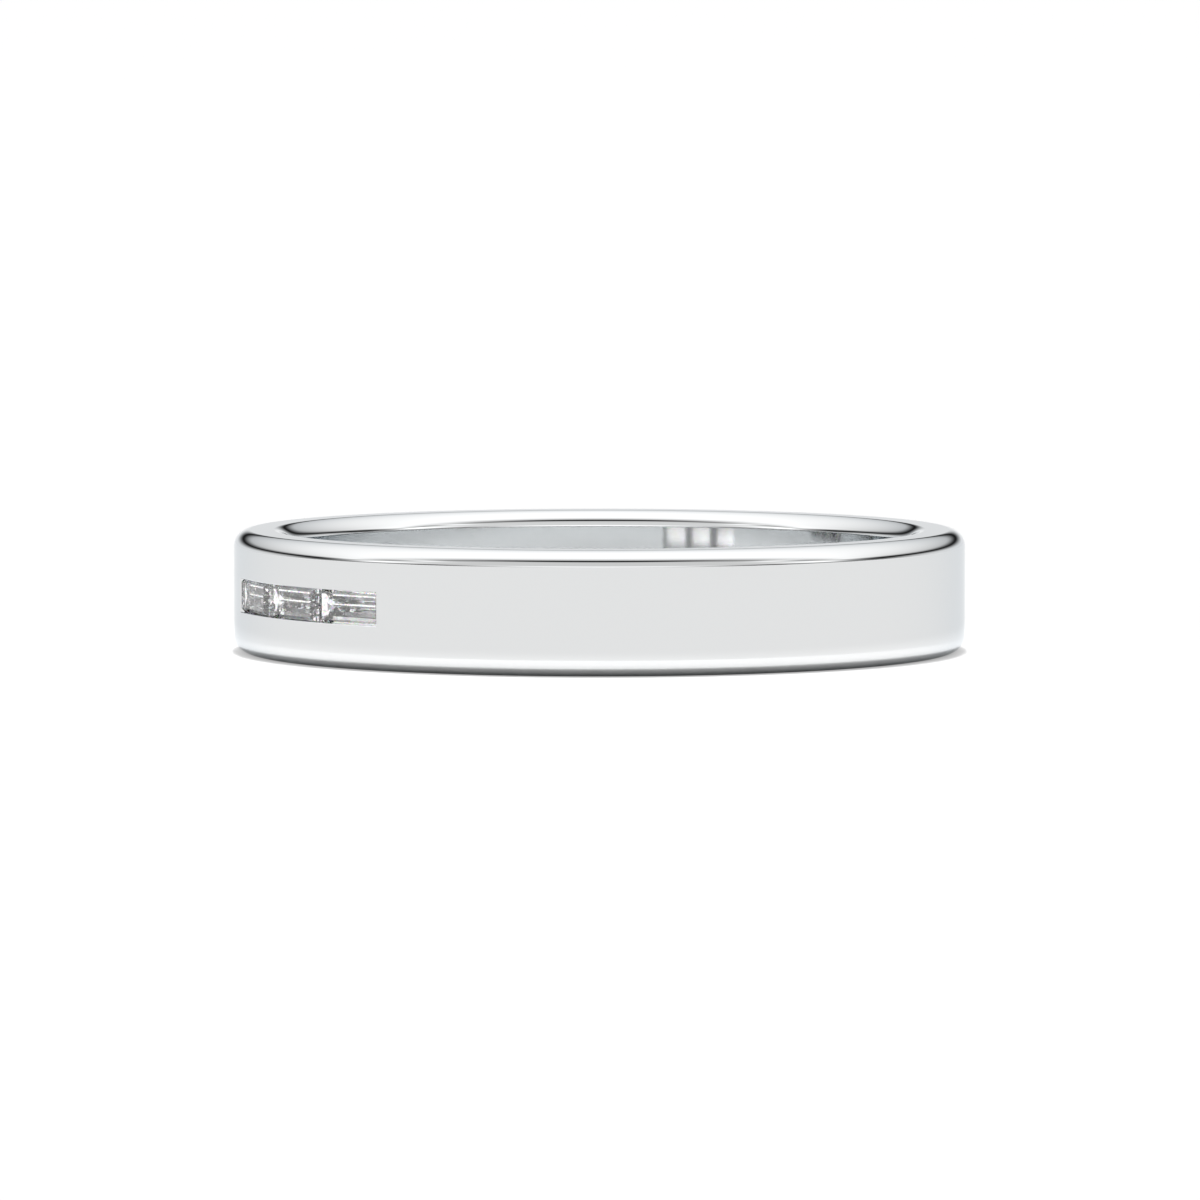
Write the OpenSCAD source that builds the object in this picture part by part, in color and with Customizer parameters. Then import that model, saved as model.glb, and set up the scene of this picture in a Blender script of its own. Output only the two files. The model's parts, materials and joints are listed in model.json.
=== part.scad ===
// A flat wedding band lying on its side, with a short channel of three
// step-cut baguettes let into its outer wall and a window cut under each.
// The finger hole runs along Z, the band rests on Z = 0, and the channel
// faces -Y.

/* [Band] */
// Inside diameter of the finger hole
inner_d = 17.8; // [15:0.1:22]
// Thickness of the wall, from the finger hole to the outer face
band_t = 1.6; // [1.45:0.05:2.2]
// Width of the band along the finger
band_w = 3.5; // [2.6:0.1:6]
// Radius that rounds all four edges of the band
edge_r = 0.47; // [0.2:0.01:0.6]

/* [Stones] */
// Length of a baguette at the girdle
stone_l = 2.56; // [2.4:0.01:2.6]
// Width of a baguette at the girdle
stone_w = 1.03; // [1.0:0.005:1.06]
// Height of the girdle's upright rim
girdle_t = 0.04; // [0.03:0.01:0.06]
// Gap between one girdle and the next
end_gap = 0.02; // [0.01:0.005:0.03]

/* [Channel] */
// How far the tables lie under the top of the outer face
table_drop = 0.095; // [0.08:0.005:0.14]
// How far each long lip reaches over the girdles
side_lip = 0.04; // [0.02:0.005:0.05]
// How far each end lip reaches over the outer stones
end_lip = 0.22; // [0.1:0.01:0.22]

/* [Windows] */
// Length of the window under each stone, round the finger hole
window_l = 2.0; // [1.6:0.05:2.1]
// Width of the window along the finger
window_w = 0.88; // [0.7:0.01:0.88]
// Thickness of the cross bars between the windows
bar_t = 0.8; // [0.5:0.05:0.85]

/* [Hidden] */

inner_r = inner_d / 2;
outer_r = inner_r + band_t;

// The cut, one row for each step from the girdle: how far in from the
// girdle at the ends, how far in at the long sides, and how far up or down
END_INSET = 0;
SIDE_INSET = 1;
STEP_HEIGHT = 2;
crown_steps = [[0, 0, 0], [0.03, 0.04, 0.05], [0.24, 0.16, 0.155]];
pavilion_steps = [[0, 0, 0], [0.065, 0.05, 0.195], [0.265, 0.225, 0.465], [0.385, stone_w / 2, 0.64]];
crown_h = crown_steps[len(crown_steps) - 1][STEP_HEIGHT];

girdle_top_r = outer_r - table_drop - crown_h;
girdle_foot_r = girdle_top_r - girdle_t;
pitch_a = 2 * atan((stone_l + end_gap) / 2 / girdle_foot_r);
mouth_a = 2 * (pitch_a + atan((stone_l / 2 - end_lip) / girdle_top_r));
mouth_w = stone_w - 2 * side_lip;

seat_gap = 0.015;      // clear space round a girdle in its groove
seat_end_gap = 0.02;   // clear space past a girdle's end, so that the seats run together
cut_over = 1;          // how far a cutter runs past the face that it opens

METAL = [0.82, 0.83, 0.84];
STONE = [0.88, 0.91, 0.94, 0.6];

// Outline of a cut stone seen along one side, mirrored about x = 0.
// half is the girdle's half size on that side, inset the column of the
// cut's rows that belongs to it, and grow moves every edge outwards.
function stone_outline(half, inset, grow) =
    let (
        crown = [for (s = crown_steps) [half - s[inset] + grow, s[STEP_HEIGHT] + grow]],
        pavilion = [for (s = pavilion_steps)
            [half - s[inset] + grow, -girdle_t - s[STEP_HEIGHT] - grow]],
        right = concat([for (i = [len(crown) - 1 : -1 : 0]) crown[i]], pavilion),
        left = [for (i = [len(right) - 1 : -1 : 0]) [-right[i][0], right[i][1]]]
    )
    concat(right, left);

// A prism whose outline lies in the XZ plane and which is centred along Y
module prism_along_y(outline, length) {
    rotate([90, 0, 0])
        linear_extrude(height = length, center = true) polygon(outline);
}

// A step-cut baguette with its girdle's top edge in the plane z = 0.
// Where two prisms of stepped outline cross, every level is a rectangle.
module baguette(grow = 0, end_grow = 0) {
    intersection() {
        prism_along_y(stone_outline(stone_l / 2, END_INSET, max(grow, end_grow)), 2 * stone_w);
        rotate([0, 0, 90])
            prism_along_y(stone_outline(stone_w / 2, SIDE_INSET, grow), 2 * stone_l);
    }
}

// Moves a stone's own frame to its place: X round the band, Y across it, Z outwards
module at_stone(index) {
    rotate([0, 0, index * pitch_a])
        translate([0, -girdle_top_r, band_w / 2])
            rotate([90, 0, 0]) children();
}

// The plain band: a ring of rectangular section with four rounded edges
module shank() {
    rotate_extrude($fn = 96) {
        translate([inner_r, edge_r]) square([band_t, band_w - 2 * edge_r]);
        translate([inner_r + edge_r, 0]) square([band_t - 2 * edge_r, band_w]);
        for (x = [inner_r + edge_r, outer_r - edge_r], y = [edge_r, band_w - edge_r])
            translate([x, y]) circle(r = edge_r, $fn = 48);
    }
}

// The mouth of the channel, as wide and as long as its lips leave it
module channel_mouth() {
    rotate([0, 0, -90 - mouth_a / 2])
        rotate_extrude(angle = mouth_a, $fn = 96)
            translate([girdle_top_r, (band_w - mouth_w) / 2])
                square([outer_r - girdle_top_r + cut_over, mouth_w]);
}

// The space under one stone, from its groove down to the cross bars
module pavilion_pocket() {
    depth = girdle_top_r - inner_r - bar_t;
    translate([-stone_l / 2 - seat_end_gap, -window_w / 2, -depth])
        cube([stone_l + 2 * seat_end_gap, window_w, depth]);
}

// The window that opens one stone's pavilion to the finger hole
module window() {
    translate([-window_l / 2, -window_w / 2, inner_r - girdle_top_r - cut_over])
        cube([window_l, window_w, girdle_top_r - inner_r + cut_over]);
}

module band() {
    color(METAL) difference() {
        shank();
        channel_mouth();
        for (index = [-1 : 1])
            at_stone(index) {
                baguette(seat_gap, seat_end_gap);
                pavilion_pocket();
                window();
            }
    }
}

module set_baguette(index) {
    color(STONE) at_stone(index) baguette();
}

band();
set_baguette(-1);  // baguette_left
set_baguette(0);  // baguette_middle
set_baguette(1);  // baguette_right
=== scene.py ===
"""Studio picture of a flat white-gold band with three channel-set baguettes.

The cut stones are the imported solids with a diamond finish. The band is made
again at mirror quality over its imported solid: a ring of 0.5 degree stations,
with the channel, the seats and the windows cut from it and true normals on
every polished face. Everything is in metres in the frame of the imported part,
where the finger hole runs along Z and the stones face -Y.
"""
import json
import logging
import math
from dataclasses import dataclass, field
from enum import Enum

import bmesh
import bpy
import numpy as np
from mathutils import Matrix, Vector


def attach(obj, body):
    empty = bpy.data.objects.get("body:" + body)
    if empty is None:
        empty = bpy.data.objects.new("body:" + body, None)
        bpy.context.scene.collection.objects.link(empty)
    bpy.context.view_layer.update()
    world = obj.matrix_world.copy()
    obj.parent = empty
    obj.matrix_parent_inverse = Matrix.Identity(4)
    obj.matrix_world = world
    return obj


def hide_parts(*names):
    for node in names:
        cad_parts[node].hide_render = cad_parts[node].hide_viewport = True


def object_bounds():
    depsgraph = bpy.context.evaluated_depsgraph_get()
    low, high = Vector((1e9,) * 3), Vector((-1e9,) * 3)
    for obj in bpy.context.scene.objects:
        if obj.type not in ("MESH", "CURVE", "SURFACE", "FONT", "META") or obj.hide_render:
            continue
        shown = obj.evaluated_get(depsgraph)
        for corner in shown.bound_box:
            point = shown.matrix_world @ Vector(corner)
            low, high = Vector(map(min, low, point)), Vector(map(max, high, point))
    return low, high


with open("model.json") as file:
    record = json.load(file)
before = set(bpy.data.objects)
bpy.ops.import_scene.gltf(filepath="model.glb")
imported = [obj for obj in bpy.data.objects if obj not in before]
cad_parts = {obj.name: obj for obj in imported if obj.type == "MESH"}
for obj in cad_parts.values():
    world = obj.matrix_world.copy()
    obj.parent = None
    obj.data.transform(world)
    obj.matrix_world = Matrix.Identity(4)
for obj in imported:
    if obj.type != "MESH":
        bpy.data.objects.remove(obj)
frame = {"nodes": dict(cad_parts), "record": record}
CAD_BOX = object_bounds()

LOG = logging.getLogger("baguette_band")
MM = 0.001
# Keeps a division clear of zero
TINY = 1e-9
# Decimals of a millimetre that a stone's corners and the ring's sizes are read to
POINT_DIGITS = 5
SIZE_DIGITS = 4
RIGHT = Vector((1.0, 0.0, 0.0))
FRONT = Vector((0.0, -1.0, 0.0))
UP = Vector((0.0, 0.0, 1.0))
# Times a vector, this leaves its level part
LEVEL = Vector((1.0, 1.0, 0.0))

Colour = tuple[float, float, float, float]
Pair = tuple[float, float]


def outward(azimuth: float, elevation: float = 0.0) -> Vector:
    """The direction from the ring towards an azimuth and an elevation.

    Args:
        azimuth: degrees round the ring from the stones' side towards +X.
        elevation: degrees above the floor.

    Returns:
        The direction, of length 1.
    """
    turn, tilt = math.radians(azimuth), math.radians(elevation)
    level = math.cos(tilt)
    return Vector((math.sin(turn) * level, -math.cos(turn) * level, math.sin(tilt)))


class Axis(Enum):
    """A direction of the part's frame, as a column of a coordinate array."""

    X = 0
    Y = 1
    Z = 2


class Noise(Enum):
    """Surface detail and painted dispersion: its cycles per metre, and how many finer layers it
    has.
    """

    CLOUD = (260.0, 3.0)
    SCRATCH = (9000.0, 4.0)
    HUE = (12000.0, 1.0)
    SPECK = (15600.0, 1.0)
    GRAIN = (52000.0, 1.0)


class Signal:
    """A shader socket that takes part in Python expressions."""

    def __init__(self, graph: "Graph", socket: bpy.types.NodeSocket | None) -> None:
        """Wraps one output socket.

        Args:
            graph: the graph that the socket belongs to.
            socket: the output socket, or None for a node that has none.
        """
        self.graph = graph
        self.socket = socket

    def math(self, operation: str, *others: "Signal | float") -> "Signal":
        """A Math node's result, with this signal in its first socket."""
        return self.graph.math(operation, self, *others)

    def __add__(self, other: "Signal | float") -> "Signal":
        """This plus other."""
        return self.math("ADD", other)

    __radd__ = __add__

    def __mul__(self, other: "Signal | float") -> "Signal":
        """This times other."""
        return self.math("MULTIPLY", other)

    __rmul__ = __mul__

    def __sub__(self, other: "Signal | float") -> "Signal":
        """This minus other."""
        return self.math("SUBTRACT", other)

    def __rsub__(self, other: float) -> "Signal":
        """A number minus this."""
        return self.graph.math("SUBTRACT", other, self)

    def __truediv__(self, other: "Signal | float") -> "Signal":
        """This divided by other."""
        return self.math("DIVIDE", other)

    def __rtruediv__(self, other: float) -> "Signal":
        """A number divided by this."""
        return self.graph.math("DIVIDE", other, self)

    def at_least(self, other: float) -> "Signal":
        """The larger of this and other."""
        return self.math("MAXIMUM", other)

    def fall(self, start: float, end: float) -> "Signal":
        """A smooth step from 1 at start down to 0 at end."""
        return 1.0 - self.rise(start, end)

    def rise(self, start: float, end: float) -> "Signal":
        """A smooth step of this signal.

        Args:
            start: where the step is still 0.
            end: where it has reached 1.

        Returns:
            The step, from 0 to 1.
        """
        settings = {"interpolation_type": "SMOOTHSTEP"}
        sockets = {"Value": self, "From Min": start, "From Max": end}
        return self.graph.node("ShaderNodeMapRange", settings, sockets)


class Graph:
    """The node tree of one material or world."""

    def __init__(self, owner: bpy.types.Material | bpy.types.World) -> None:
        """Empties the tree.

        Args:
            owner: the material or world that the tree belongs to.
        """
        owner.use_nodes = True
        self.owner = owner
        self.tree = owner.node_tree
        self.tree.nodes.clear()

    def node(
        self,
        kind: str,
        settings: dict | None = None,
        sockets: dict | None = None,
        output: str | int = 0,
    ) -> Signal:
        """Adds any node.

        Args:
            kind: the node's type.
            settings: its properties, which are set first.
            sockets: values, colours or signals for its input sockets.
            output: the output socket that is wanted.

        Returns:
            That output.
        """
        made = self.tree.nodes.new(kind)
        for name, value in (settings or {}).items():
            setattr(made, name, value)
        for name, value in (sockets or {}).items():
            if isinstance(value, Signal):
                self.tree.links.new(value.socket, made.inputs[name])
            else:
                made.inputs[name].default_value = value
        outputs = made.outputs
        return Signal(self, outputs[output] if len(outputs) else None)

    def finish(self, shader: Signal) -> bpy.types.Material | bpy.types.World:
        """Adds the output node.

        Args:
            shader: what the output shows.

        Returns:
            The finished material or world.
        """
        world = isinstance(self.owner, bpy.types.World)
        kind = "ShaderNodeOutputWorld" if world else "ShaderNodeOutputMaterial"
        self.node(kind, None, {"Surface": shader})
        return self.owner

    def math(self, operation: str, *values: Signal | float) -> Signal:
        """Adds a Math node.

        Args:
            operation: its operation.
            values: what goes into its sockets, in their order.

        Returns:
            Its result.
        """
        return self.node("ShaderNodeMath", {"operation": operation}, dict(enumerate(values)))

    def vector_math(
        self, operation: str, *values: Signal | Vector, output: str | int = 0
    ) -> Signal:
        """Adds a Vector Math node.

        Args:
            operation: its operation.
            values: what goes into its sockets, in their order.
            output: the output socket that is wanted.

        Returns:
            That output.
        """
        settings = {"operation": operation}
        return self.node("ShaderNodeVectorMath", settings, dict(enumerate(values)), output)

    def noise(self, where: Signal, detail: Noise) -> Signal:
        """Adds a noise texture.

        Args:
            where: the coordinates that it is looked up at.
            detail: its scale and its layers.

        Returns:
            The noise, about 0 to 1.
        """
        scale, layers = detail.value
        sockets = {"Vector": where, "Scale": scale, "Detail": layers}
        return self.node("ShaderNodeTexNoise", None, sockets)

    def blend(self, share: Signal, first: Signal | Colour, second: Signal | Colour) -> Signal:
        """Adds a mix of two colours.

        Args:
            share: how much of the second there is, from 0 to 1.
            first: the first colour.
            second: the second colour.

        Returns:
            The mixed colour.
        """
        sockets = {"Factor": share, "A": first, "B": second}
        return self.node("ShaderNodeMix", {"data_type": "RGBA"}, sockets, output="Result")

    def along(self, where: Signal, axis: Vector) -> Signal:
        """How far a vector runs along an axis of length 1."""
        return self.vector_math("DOT_PRODUCT", where, axis, output="Value")


@dataclass(frozen=True)
class WhiteGold:
    """Rhodium-plated white gold: mirror polish outside, a fine satin polish on the inner wall,
    whose colour is set lighter than the outer metal's as painted light.

    Each pocket under the stones and the bars between them are rough as cast, and their colour is
    darkened as painted shade. The row of windows ends at shares of its half width and half length.
    """

    name: str = "white_gold_polish"
    outside: Colour = (0.748, 0.756, 0.759, 1.0)
    # Painted light: the inner wall's colour is set lighter than the outer metal's own colour.
    inner_satin_and_painted_light: Colour = (0.836, 0.848, 0.853, 1.0)
    # Painted shade: the bars between the windows are darkened far below the metal's own colour.
    bars: Colour = (0.28, 0.284, 0.287, 1.0)
    # Painted shade: each pocket under a stone is darkened below the metal's own colour.
    pocket_painted_shade: Colour = (0.48, 0.485, 0.49, 1.0)
    edge_tint: Colour = (0.825, 0.85, 0.872, 1.0)
    mirror: float = 0.012
    satin: float = 0.05
    as_cast: float = 0.3
    cloudiness: float = 0.01
    cloud_edge: Pair = (0.35, 0.75)
    blend: float = 0.04 * MM
    row_side: Pair = (1.01, 1.03)
    row_end: Pair = (0.98, 1.0)
    scratches: float = 0.02
    graininess: float = 0.35
    bump_strength: float = 0.05
    bump_depth: float = 0.01 * MM

    def build(self, band: "Band") -> bpy.types.Material:
        """Makes the material.

        Args:
            band: the band, whose sizes say where each finish belongs.

        Returns:
            The finished material.
        """
        hole_radius = band.inner_radius * MM
        seat_foot = band.girdle_levels()[1] * MM
        half_length, half_width = band.stones[-1].angle(), band.window_width * MM / 2
        graph = Graph(bpy.data.materials.new(self.name))
        where = graph.node("ShaderNodeTexCoord", output="Object")
        flat = graph.vector_math("MULTIPLY", where, LEVEL)
        radius = graph.vector_math("LENGTH", flat, output="Value")
        # The inner wall: satin there, and painted lighter.
        inner_satin_and_painted_light = radius.fall(hole_radius, hole_radius + self.blend)
        front = graph.along(where, FRONT)
        turn = graph.along(where, RIGHT).math("ARCTAN2", front).math("ABSOLUTE")
        off_middle = (graph.along(where, UP) - band.width * MM / 2).math("ABSOLUTE")
        row = off_middle.fall(*(share * half_width for share in self.row_side))
        # Where the bars and each pocket are: rough as cast, and darkened there as painted shade.
        bar_rough_and_painted_shade = row * inner_satin_and_painted_light * turn.fall(*(share * half_length for share in self.row_end))
        pocket = row * (1.0 - inner_satin_and_painted_light) * radius.fall(seat_foot, seat_foot + self.blend)
        cloud = graph.noise(where, Noise.CLOUD)
        scratch = graph.noise(where, Noise.SCRATCH)
        grain = graph.noise(where, Noise.GRAIN)
        roughness = inner_satin_and_painted_light * (self.satin - self.mirror) + self.mirror
        roughness = roughness + (bar_rough_and_painted_shade + pocket) * self.as_cast
        roughness = roughness + cloud.rise(*self.cloud_edge) * self.cloudiness
        # Painted light: the inner wall takes its lighter colour.
        tone = graph.blend(inner_satin_and_painted_light, self.outside, self.inner_satin_and_painted_light)
        # Painted shade: the bars and each pocket take their darkened colours.
        tone = graph.blend(pocket, graph.blend(bar_rough_and_painted_shade, tone, self.bars), self.pocket_painted_shade)
        relief = scratch * self.scratches + grain * inner_satin_and_painted_light * self.graininess
        heights = {"Strength": self.bump_strength, "Distance": self.bump_depth, "Height": relief}
        sockets = {
            "Base Color": tone,
            "Metallic": 1.0,
            "Roughness": roughness,
            "Specular Tint": self.edge_tint,
            "Normal": graph.node("ShaderNodeBump", None, heights),
        }
        return graph.finish(graph.node("ShaderNodeBsdfPrincipled", None, sockets))


@dataclass(frozen=True)
class Diamond:
    """Colourless polished diamond, with dispersion painted as faint specks of colour in its tint.

    Hues is how often the specks' colours run round the colour circle.
    """

    name: str = "diamond_facets"
    index: float = 2.417
    # Painted dispersion: how strongly the specks colour the stone.
    painted_fire: float = 0.7
    hues: float = 5.0
    painted_fire_edge: Pair = (0.45, 0.6)

    def build(self) -> bpy.types.Material:
        """Makes the material.

        Returns:
            The finished material.
        """
        graph = Graph(bpy.data.materials.new(self.name))
        where = graph.node("ShaderNodeTexCoord", output="Object")
        # Painted dispersion: specks of random colour in the stone's tint stand in for the colours
        # that dispersion splits out.
        painted_fire_hue = (graph.noise(where, Noise.HUE) * self.hues).math("FRACT")
        painted_fire_speck = graph.noise(where, Noise.SPECK).rise(*self.painted_fire_edge) * self.painted_fire
        tint = {"Red": painted_fire_hue, "Green": painted_fire_speck, "Blue": 1.0}
        sockets = {
            "Base Color": graph.node("ShaderNodeCombineColor", {"mode": "HSV"}, tint),
            "Roughness": 0.0,
            "IOR": self.index,
            "Transmission Weight": 1.0,
        }
        return graph.finish(graph.node("ShaderNodeBsdfPrincipled", None, sockets))


@dataclass(frozen=True)
class PaleFloor:
    """A matt pale studio floor with a painted white glow that shows at a low angle, painting light
    over its contact shadows there.

    Share is the part of the painted glow at the lowest angle, and a larger narrowness keeps it to
    lower angles.
    """

    name: str = "pale_floor"
    colour: Colour = (0.57, 0.57, 0.57, 1.0)
    # Colour of the painted glow.
    glow: Colour = (1.0, 1.0, 1.0, 1.0)
    share: float = 0.9
    narrowness: float = 10.0

    def build(self) -> bpy.types.Material:
        """Makes the material.

        Returns:
            The finished material.
        """
        graph = Graph(bpy.data.materials.new(self.name))
        matt = graph.node("ShaderNodeBsdfDiffuse", None, {"Color": self.colour})
        # Painted glow: white light that the floor gives off at low angles, with no lamp behind it.
        light = graph.node("ShaderNodeEmission", None, {"Color": self.glow})
        low = graph.node("ShaderNodeLayerWeight", output="Facing")
        painted_glow_share = low.math("POWER", self.narrowness) * self.share
        return graph.finish(graph.node("ShaderNodeMixShader", None, {0: painted_glow_share, 1: matt, 2: light}))


@dataclass(frozen=True)
class PaleGlow:
    """Even white light from a sheet."""

    name: str = "pale_glow"
    colour: Colour = (1.0, 1.0, 1.0, 1.0)
    strength: float = 1.4

    def build(self) -> bpy.types.Material:
        """Makes the material.

        Returns:
            The finished material.
        """
        graph = Graph(bpy.data.materials.new(self.name))
        sockets = {"Color": self.colour, "Strength": self.strength}
        return graph.finish(graph.node("ShaderNodeEmission", None, sockets))


@dataclass
class Baguette:
    """One cut stone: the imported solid, dressed as diamond."""

    node: str

    def points(self) -> np.ndarray:
        """Reads its corners.

        Returns:
            Their coordinates in millimetres, one row each.
        """
        mesh = frame["nodes"][self.node].data
        flat = np.empty(len(mesh.vertices) * 3)
        mesh.vertices.foreach_get("co", flat)
        return np.unique((flat.reshape(-1, 3) / MM).round(POINT_DIGITS), axis=0)

    def angle(self) -> float:
        """How far round the band it sits from -Y, in radians."""
        centre = self.points().mean(axis=0)
        return math.atan2(centre[Axis.X.value], -centre[Axis.Y.value])

    def dress(self, material: bpy.types.Material) -> None:
        """Gives it its finish.

        Args:
            material: the diamond material.
        """
        solid = frame["nodes"][self.node]
        solid.data.materials.clear()
        solid.data.materials.append(material)


@dataclass
class Band:
    """The band: a plain ring with a channel, seats and windows cut into it.

    Shapes are worked out in millimetres and scaled to metres at the end. A face
    counts as polished where it lies within polish_depth of the plain ring's
    surface, and the cosine of its turn against that surface is over
    polish_facing. The stones are listed from left to right.
    """

    stones: list[Baguette]
    stations: int = 720
    edge_steps: int = 16
    mouth_steps: int = 84
    end_lip: float = 0.22
    side_lip: float = 0.04
    lip_break: float = 0.015
    seat_gap: float = 0.013
    seat_end_gap: float = 0.0195
    window_length: float = 2.0
    window_width: float = 0.88
    bar_thickness: float = 0.8
    overrun: float = 1.0
    rim_slack: float = 0.001
    polish_depth: float = 0.002
    polish_facing: float = 0.98
    inner_radius: float = field(init=False)
    outer_radius: float = field(init=False)
    width: float = field(init=False)
    edge_radius: float = field(init=False)

    def __post_init__(self) -> None:
        """Reads the ring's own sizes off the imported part."""
        low, high = CAD_BOX
        mounts = {mount["name"]: mount for mount in frame["record"]["mounts"]}
        hole = mounts["finger_hole"]["dims"]
        self.inner_radius = hole["r_mm"]
        self.outer_radius = round(high.x / MM, SIZE_DIGITS)
        self.width = round((high.z - low.z) / MM, SIZE_DIGITS)
        self.edge_radius = (self.width - hole["length_mm"]) / 2

    def profile(self) -> list[Pair]:
        """The ring's section as a closed outline.

        Returns:
            Pairs of a radius and a height, with each edge as an arc.
        """
        edge = self.edge_radius
        corners = (
            (self.outer_radius - edge, edge, -90.0),
            (self.outer_radius - edge, self.width - edge, 0.0),
            (self.inner_radius + edge, self.width - edge, 90.0),
            (self.inner_radius + edge, edge, 180.0),
        )
        outline = []
        for radius, height, start in corners:
            for step in range(self.edge_steps + 1):
                turn = math.radians(start + 90.0 * step / self.edge_steps)
                outline.append((radius + edge * math.cos(turn), height + edge * math.sin(turn)))
        return outline

    def shank(self) -> bpy.types.Mesh:
        """The plain ring.

        Returns:
            A closed mesh of quads.
        """
        outline = np.array(self.profile())
        turns = np.linspace(0.0, 2 * math.pi, self.stations, endpoint=False)
        radius, height = outline[:, 0], outline[:, 1]
        ring = np.stack(
            (
                np.sin(turns)[:, None] * radius,
                -np.cos(turns)[:, None] * radius,
                np.broadcast_to(height, (self.stations, len(height))),
            ),
            axis=-1,
        )
        count = len(outline)
        station = np.arange(self.stations)[:, None] * count
        following = (station + count) % (self.stations * count)
        here = np.arange(count)[None, :]
        after = (here + 1) % count
        corners = (station + here, following + here, following + after, station + after)
        quads = np.stack(corners, axis=-1)
        mesh = bpy.data.meshes.new("shank")
        mesh.from_pydata(ring.reshape(-1, 3).tolist(), [], quads.reshape(-1, 4).tolist())
        return mesh

    def girdle_levels(self) -> Pair:
        """Finds the middle stone's girdle.

        Returns:
            The radii of its top and of its foot.
        """
        _, middle, _ = self.stones
        points = middle.points()
        across = np.abs(points[:, Axis.X.value])
        rim = -points[across > across.max() - self.rim_slack, Axis.Y.value]
        return float(rim.max()), float(rim.min())

    def mouth_half_angle(self) -> float:
        """Works out how far the mouth of the channel reaches to each side.

        Returns:
            Half the angle that it spans, in radians.
        """
        _, middle, right = self.stones
        top, _ = self.girdle_levels()
        half = middle.points()[:, Axis.X.value].max()
        return right.angle() + math.atan((half - self.end_lip) / top)

    def mouth(self) -> bpy.types.Mesh:
        """The cutter for the channel's mouth, flared where the lips' edges are broken.

        Returns:
            A closed mesh.
        """
        _, stone, _ = self.stones
        floor, _ = self.girdle_levels()
        half = np.ptp(stone.points()[:, Axis.Z.value]) / 2 - self.side_lip
        edge = self.outer_radius - self.lip_break
        flare = half + self.lip_break + self.overrun
        levels = [(floor, half), (edge, half), (self.outer_radius + self.overrun, flare)]
        corners = levels + [(radius, -across) for radius, across in reversed(levels)]
        reach = self.mouth_half_angle()
        middle = self.width / 2
        shape = bmesh.new()
        rows = []
        for step in range(self.mouth_steps + 1):
            share = 2.0 * step / self.mouth_steps - 1.0
            row = []
            for radius, across in corners:
                turn = share * (reach + max(0.0, radius - edge) / self.outer_radius)
                place = (radius * math.sin(turn), -radius * math.cos(turn), middle + across)
                row.append(shape.verts.new(place))
            rows.append(row)
        for before, later in zip(rows, rows[1:]):
            for here in range(len(corners)):
                after = (here + 1) % len(corners)
                shape.faces.new((before[here], before[after], later[after], later[here]))
        shape.faces.new(rows[0])
        shape.faces.new(list(reversed(rows[-1])))
        return self._closed(shape, "mouth")

    @staticmethod
    def _closed(shape: bmesh.types.BMesh, name: str) -> bpy.types.Mesh:
        """Turns a cutter's faces outwards and stores it.

        Args:
            shape: the cutter.
            name: the mesh's name.

        Returns:
            The mesh.
        """
        bmesh.ops.recalc_face_normals(shape, faces=shape.faces)
        mesh = bpy.data.meshes.new(name)
        shape.to_mesh(mesh)
        shape.free()
        return mesh

    def seat(self, stone: Baguette) -> bpy.types.Mesh:
        """The cutter for one seat: the stone, grown by the clear space round it.

        Args:
            stone: the stone that sits there.

        Returns:
            A closed convex mesh.
        """
        points = stone.points()
        turn = Matrix.Rotation(-stone.angle(), 3, "Z")
        own = np.array([turn @ Vector(p) for p in points])
        middle = (own.max(axis=0) + own.min(axis=0)) / 2
        half = (own.max(axis=0) - own.min(axis=0)) / 2
        grow = 1.0 + np.array((self.seat_end_gap, self.seat_gap, self.seat_gap)) / half
        grown = (own - middle) * grow + middle
        back = turn.inverted()
        shape = bmesh.new()
        for point in grown:
            shape.verts.new(back @ Vector(point))
        hull = bmesh.ops.convex_hull(shape, input=shape.verts)
        spare = [item for item in hull["geom_interior"] if isinstance(item, bmesh.types.BMVert)]
        bmesh.ops.delete(shape, geom=spare, context="VERTS")
        return self._closed(shape, "seat")

    def block(self, turn: float, size: Vector, low: float, high: float) -> bpy.types.Mesh:
        """A straight-sided cutter that points out from the finger hole.

        Args:
            turn: its angle round the band.
            size: its length round the band and its width along the finger.
            low: the radius that it starts at.
            high: the radius that it ends at.

        Returns:
            A closed mesh.
        """
        shape = bmesh.new()
        bmesh.ops.create_cube(shape, size=1.0)
        bmesh.ops.scale(shape, vec=(size.x, high - low, size.y), verts=shape.verts)
        bmesh.ops.translate(shape, vec=(0.0, -(high + low) / 2, self.width / 2), verts=shape.verts)
        bmesh.ops.rotate(shape, matrix=Matrix.Rotation(turn, 3, "Z"), verts=shape.verts)
        return self._closed(shape, "block")

    def cutters(self) -> list[bpy.types.Mesh]:
        """Makes everything that is cut from the ring.

        Returns:
            The mouth, and each stone's seat, pocket and window.
        """
        _, middle, _ = self.stones
        top, _ = self.girdle_levels()
        bars = self.inner_radius + self.bar_thickness
        stone_length = np.ptp(middle.points()[:, Axis.X.value])
        pocket = Vector((stone_length + 2.0 * self.seat_end_gap, self.window_width))
        window = Vector((self.window_length, self.window_width))
        cut = [self.mouth()]
        for stone in self.stones:
            turn = stone.angle()
            cut.append(self.seat(stone))
            cut.append(self.block(turn, pocket, bars, top))
            cut.append(self.block(turn, window, self.inner_radius - self.overrun, top))
        return cut

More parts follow.
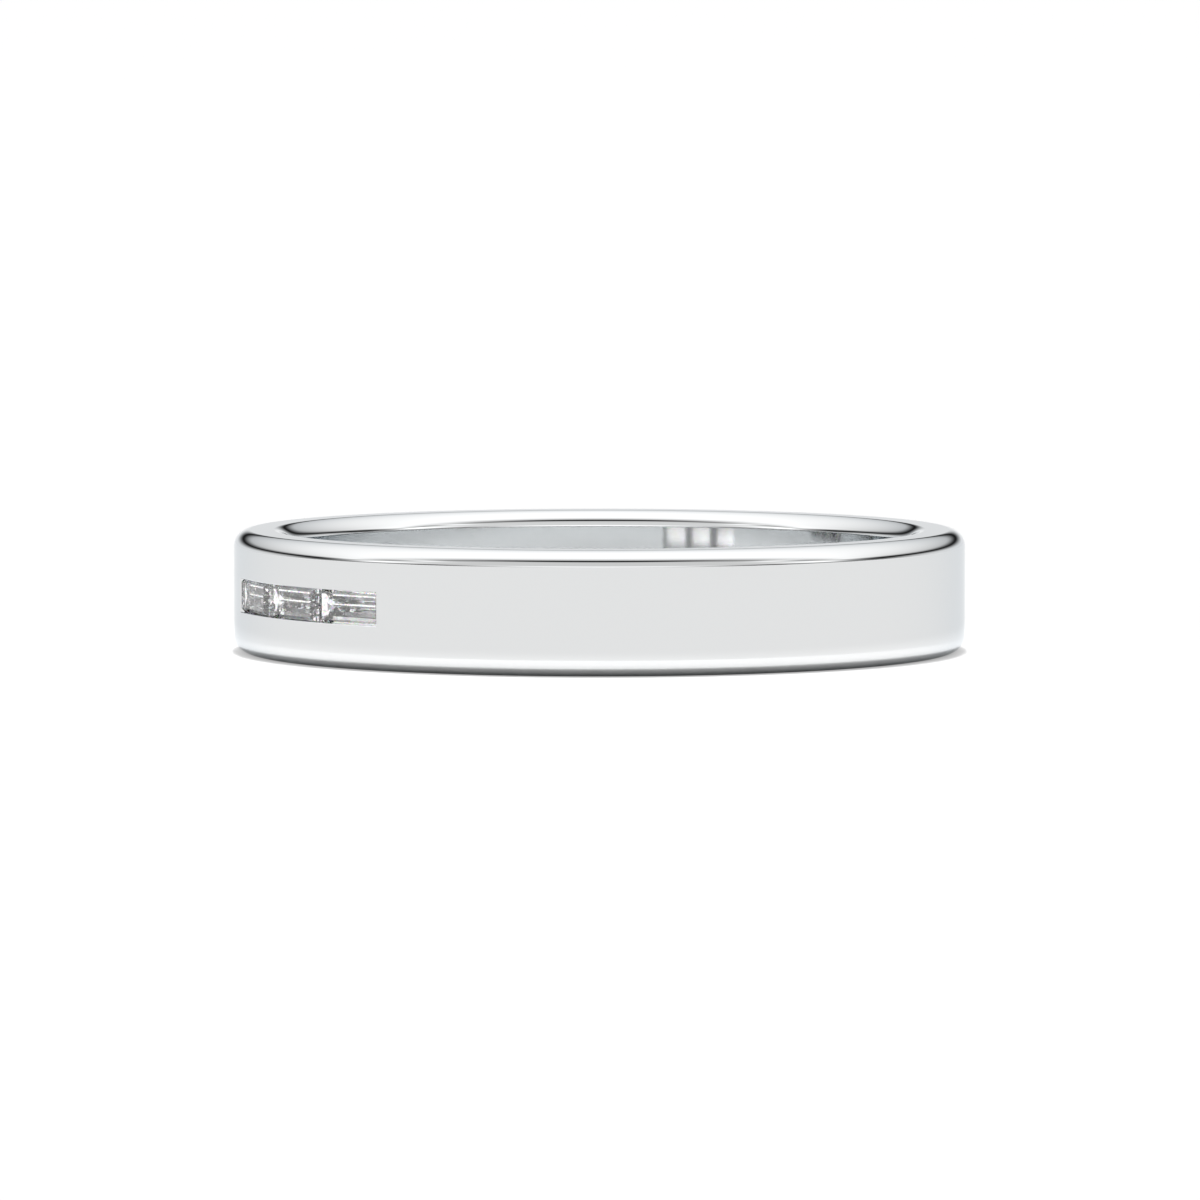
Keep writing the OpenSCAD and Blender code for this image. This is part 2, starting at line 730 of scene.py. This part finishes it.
    def build(self, material: bpy.types.Material) -> bpy.types.Object:
        """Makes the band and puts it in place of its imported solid.

        Args:
            material: the white-gold material.

        Returns:
            The band's object.
        """
        work = bpy.data.objects.new("band_work", self.shank())
        bpy.context.scene.collection.objects.link(work)
        tools = []
        for mesh in self.cutters():
            tool = bpy.data.objects.new(mesh.name, mesh)
            bpy.context.scene.collection.objects.link(tool)
            tools.append(tool)
            cut = work.modifiers.new(mesh.name, "BOOLEAN")
            cut.operation = "DIFFERENCE"
            cut.solver = "MANIFOLD"
            cut.object = tool
        depsgraph = bpy.context.evaluated_depsgraph_get()
        mesh = bpy.data.meshes.new_from_object(work.evaluated_get(depsgraph))
        for spare in (work, *tools):
            bpy.data.objects.remove(spare)
        mesh.name = "white_gold_band"
        self.polish(mesh)
        mesh.transform(Matrix.Scale(MM, 4))
        mesh.materials.clear()
        mesh.materials.append(material)
        band = bpy.data.objects.new("white_gold_band", mesh)
        bpy.context.scene.collection.objects.link(band)
        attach(band, "root")
        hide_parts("band")
        return band

    def polish(self, mesh: bpy.types.Mesh) -> None:
        """Gives the ring's own faces the normals of the true curved surface.

        Args:
            mesh: the cut band, in millimetres.
        """
        faces = mesh.polygons
        centres = np.empty(len(faces) * 3)
        flats = np.empty(len(faces) * 3)
        faces.foreach_get("center", centres)
        faces.foreach_get("normal", flats)
        centres, flats = centres.reshape(-1, 3), flats.reshape(-1, 3)
        true, depth = self.surface(centres)
        facing = np.einsum("ij,ij->i", true, flats)
        on_ring = (np.abs(depth) < self.polish_depth) & (facing > self.polish_facing)
        corners = np.empty(len(mesh.vertices) * 3)
        mesh.vertices.foreach_get("co", corners)
        vertex_normals, _ = self.surface(corners.reshape(-1, 3))
        loop_vertex = np.empty(len(mesh.loops), dtype=np.int64)
        mesh.loops.foreach_get("vertex_index", loop_vertex)
        totals = np.empty(len(faces), dtype=np.int64)
        faces.foreach_get("loop_total", totals)
        loop_face = np.repeat(np.arange(len(faces)), totals)
        normals = np.where(on_ring[loop_face, None], vertex_normals[loop_vertex], flats[loop_face])
        faces.foreach_set("use_smooth", np.ones(len(faces), dtype=bool))
        mesh.normals_split_custom_set(normals.tolist())

    def surface(self, points: np.ndarray) -> tuple[np.ndarray, np.ndarray]:
        """Where points lie against the plain ring's surface.

        Args:
            points: rows of coordinates in millimetres.

        Returns:
            The outward normal for each point, and how far it is outside.
        """
        x, y, z = points.T
        radius = np.hypot(x, y)
        middle = (self.inner_radius + self.outer_radius) / 2
        half = np.array((self.outer_radius - self.inner_radius, self.width)) / 2
        core = half - self.edge_radius
        section = np.stack((radius - middle, z - self.width / 2), axis=-1)
        away = section - np.clip(section, -core, core)
        distance = np.linalg.norm(away, axis=1)
        away /= np.maximum(distance, TINY)[:, None]
        spoke = points[:, :2] / np.maximum(radius, TINY)[:, None]
        normal = np.column_stack((spoke * away[:, :1], away[:, 1]))
        return normal, distance - self.edge_radius


@dataclass
class Floor:
    """The pale floor that the ring lies on, out to a far horizon."""

    name: str = "floor"
    half_size: float = 30.0
    drop: float = 0.004 * MM

    def build(self, material: bpy.types.Material) -> bpy.types.Object:
        """Lays the sheet.

        Args:
            material: its finish.

        Returns:
            The sheet's object.
        """
        shape = bmesh.new()
        bmesh.ops.create_grid(shape, x_segments=1, y_segments=1, size=self.half_size)
        bmesh.ops.translate(shape, vec=(0.0, 0.0, -self.drop), verts=shape.verts)
        mesh = bpy.data.meshes.new(self.name)
        shape.to_mesh(mesh)
        shape.free()
        mesh.materials.append(material)
        sheet = bpy.data.objects.new(self.name, mesh)
        bpy.context.scene.collection.objects.link(sheet)
        return sheet


@dataclass
class StoneGlow(Floor):
    """A glowing sheet just over the floor, for the light through the stones alone."""

    name: str = "stone_glow"
    half_size: float = 0.1
    drop: float = 0.002 * MM

    def build(self, material: bpy.types.Material) -> bpy.types.Object:
        """Lays the sheet, which shows in nothing but the stones.

        Args:
            material: its finish.

        Returns:
            The sheet's object.
        """
        sheet = super().build(material)
        sheet.visible_camera = False
        sheet.visible_diffuse = False
        sheet.visible_glossy = False
        sheet.visible_shadow = False
        return sheet


@dataclass
class OverheadLamp:
    """A lamp straight above the ring that lights the matt floor alone."""

    height: float = 0.6

    def hang(self, data: bpy.types.Light) -> bpy.types.Object:
        """Hangs the lamp, which neither the metal nor the stones mirror.

        Args:
            data: the lamp's settings.

        Returns:
            The lamp's object.
        """
        lamp = bpy.data.objects.new(data.name, data)
        lamp.location = UP * self.height
        lamp.visible_glossy = False
        lamp.visible_transmission = False
        bpy.context.scene.collection.objects.link(lamp)
        return lamp


@dataclass
class FloorWash(OverheadLamp):
    """Even soft light over the whole floor. The spread is an angle in degrees."""

    strength: float = 2.2
    spread: float = 16.0

    def build(self) -> bpy.types.Object:
        """Makes the lamp and hangs it.

        Returns:
            The lamp's object.
        """
        data = bpy.data.lights.new("floor_wash", "SUN")
        data.energy = self.strength
        data.angle = math.radians(self.spread)
        return self.hang(data)


@dataclass
class PoolLamp(OverheadLamp):
    """A pool of light on the floor round the ring, a little nearer to the camera."""

    camera_azimuth: float = 0.0
    forward: float = 1.7 * MM
    radius: float = 16.0 * MM
    blend: float = 0.1
    size: float = 3.0 * MM
    watts: float = 10.0

    def build(self) -> bpy.types.Object:
        """Makes the lamp and hangs it.

        Returns:
            The lamp's object.
        """
        data = bpy.data.lights.new("pool_lamp", "SPOT")
        data.energy = self.watts
        data.spot_size = 2.0 * math.atan(self.radius / self.height)
        data.spot_blend = self.blend
        data.shadow_soft_size = self.size
        lamp = self.hang(data)
        lamp.location += outward(self.camera_azimuth) * self.forward
        return lamp


@dataclass
class StoneLamp:
    """A broad soft lamp in front, for the light through the stones alone.

    Angles are in degrees.
    """

    camera_azimuth: float
    aside: float = 20.0
    elevation: float = 50.0
    strength: float = 0.65
    spread: float = 50.0

    def build(self) -> bpy.types.Object:
        """Makes the lamp, which neither the metal nor the floor shows.

        Returns:
            The lamp's object.
        """
        data = bpy.data.lights.new("stone_lamp", "SUN")
        data.energy = self.strength
        data.angle = math.radians(self.spread)
        lamp = bpy.data.objects.new("stone_lamp", data)
        direction = outward(self.camera_azimuth - self.aside, self.elevation)
        lamp.rotation_euler = direction.to_track_quat("Z", "Y").to_euler()
        lamp.visible_camera = False
        lamp.visible_diffuse = False
        lamp.visible_glossy = False
        bpy.context.scene.collection.objects.link(lamp)
        return lamp


@dataclass(frozen=True)
class Glow:
    """A soft patch of more or less light on the studio's low wall."""

    azimuth: float
    elevation: float
    half_width: float
    half_height: float
    gain: float


@dataclass
class StudioSky:
    """The light: one wide ceiling panel, a dark gap round it and a pale low wall.

    The left and the right half are alike. Angles are in degrees. Azimuth 0 is
    on the camera's side, and distances on the panel are in heights of the
    panel over the ring. They are worked out as if each direction rose by
    least_rise or more.
    """

    camera_azimuth: float
    panel_light: float = 1.48
    panel_forward: float = 0.21
    panel_sideways: float = -0.07
    panel_front: Pair = (0.12, 1.3)
    panel_rim: Pair = (9.3, 16.2)
    wall_light: float = 0.78
    wall_front: Pair = (0.94, 1.39)
    back_light: float = 0.95
    back_rim: Pair = (1.7, 9.4)
    dark: float = 0.016
    least_rise: float = 0.02
    glows: tuple[Glow, ...] = (
        Glow(azimuth=0.0, elevation=5.2, half_width=110.0, half_height=3.4, gain=0.61),
        Glow(azimuth=75.0, elevation=5.4, half_width=18.6, half_height=7.0, gain=1.8),
        Glow(azimuth=74.0, elevation=3.5, half_width=32.0, half_height=5.1, gain=-2.19),
        Glow(azimuth=0.0, elevation=42.0, half_width=38.0, half_height=5.7, gain=-0.63),
        Glow(azimuth=60.0, elevation=24.8, half_width=8.6, half_height=4.6, gain=0.76),
    )

    def build(self) -> None:
        """Makes the world and hangs it in the scene."""
        graph = Graph(bpy.data.worlds.new("studio_sky"))
        where = graph.node("ShaderNodeTexCoord", output="Generated")
        front = graph.along(where, outward(self.camera_azimuth))
        side = graph.along(where, outward(self.camera_azimuth + 90.0)).math("ABSOLUTE")
        high = graph.along(where, UP)
        degrees = math.degrees(1.0)
        elevation = high.math("ARCSINE") * degrees
        azimuth = side.math("ARCTAN2", front) * degrees
        over = high.at_least(self.least_rise)
        reach = front / over
        spread = side / over
        fade = reach * self.panel_forward + spread * self.panel_sideways
        panel = fade.math("EXPONENT") * self.panel_light
        panel = panel * reach.fall(*self.panel_front) * elevation.rise(*self.panel_rim)
        wall = reach.rise(*self.wall_front) * self.wall_light
        behind = reach.fall(*self.wall_front) * elevation.fall(*self.back_rim)
        wall = wall + behind * self.back_light
        for glow in self.glows:
            wall = wall + self._patch(azimuth, elevation, glow)
        light = (panel + wall).at_least(self.dark)
        shader = graph.node("ShaderNodeBackground", None, {"Color": light})
        bpy.context.scene.world = graph.finish(shader)

    @staticmethod
    def _patch(azimuth: Signal, elevation: Signal, glow: Glow) -> Signal:
        """The light of one glow.

        Args:
            azimuth: the direction's azimuth.
            elevation: its elevation.
            glow: the glow.

        Returns:
            Its gain, fading smoothly to 0 away from its middle.
        """
        across = (azimuth - glow.azimuth) / glow.half_width
        upward = (elevation - glow.elevation) / glow.half_height
        distance = across * across + upward * upward
        return (distance * -1.0).math("EXPONENT") * glow.gain


@dataclass
class StudioCamera:
    """A long lens just above the floor. Angles are in degrees."""

    azimuth: float = 56.75
    elevation: float = 3.78
    distance: float = 0.2751
    sensor: float = 36.0
    lens: float = 287.1
    aim_height: float = 1.75 * MM
    shift: Pair = (0.0004, -0.00875)
    clip: Pair = (0.01, 200.0)

    def build(self) -> bpy.types.Object:
        """Makes the camera and makes it the scene's camera.

        Returns:
            The camera's object.
        """
        direction = outward(self.azimuth, self.elevation)
        data = bpy.data.cameras.new("camera")
        data.sensor_width = self.sensor
        data.lens = self.lens
        data.shift_x, data.shift_y = self.shift
        data.clip_start, data.clip_end = self.clip
        camera = bpy.data.objects.new("camera", data)
        camera.location = UP * self.aim_height + direction * self.distance
        camera.rotation_euler = direction.to_track_quat("Z", "Y").to_euler()
        bpy.context.scene.collection.objects.link(camera)
        bpy.context.scene.camera = camera
        return camera


@dataclass(frozen=True)
class Bounces:
    """How often light may bounce, in all and off each kind of surface."""

    total: int = 24
    diffuse: int = 1
    glossy: int = 16
    transmission: int = 16

    def apply(self) -> None:
        """Gives the scene these limits."""
        cycles = bpy.context.scene.cycles
        cycles.max_bounces = self.total
        cycles.diffuse_bounces = self.diffuse
        cycles.glossy_bounces = self.glossy
        cycles.transmission_bounces = self.transmission


def main() -> None:
    """Builds the studio and the ring."""
    logging.basicConfig(level=logging.INFO, format="%(name)s: %(message)s")
    camera = StudioCamera()
    camera.build()
    StudioSky(camera.azimuth).build()
    Floor().build(PaleFloor().build())
    StoneGlow().build(PaleGlow().build())
    FloorWash().build()
    PoolLamp(camera_azimuth=camera.azimuth).build()
    StoneLamp(camera.azimuth).build()
    Bounces().apply()
    bpy.context.scene.view_settings.view_transform = "Standard"
    stones = [Baguette(f"baguette_{place}") for place in ("left", "middle", "right")]
    diamond = Diamond().build()
    for stone in stones:
        stone.dress(diamond)
        LOG.info("%s at %.2f degrees", stone.node, math.degrees(stone.angle()))
    band = Band(stones)
    ring = band.build(WhiteGold().build(band))
    LOG.info("%s has %d faces", ring.name, len(ring.data.polygons))


if __name__ == "__main__":
    main()
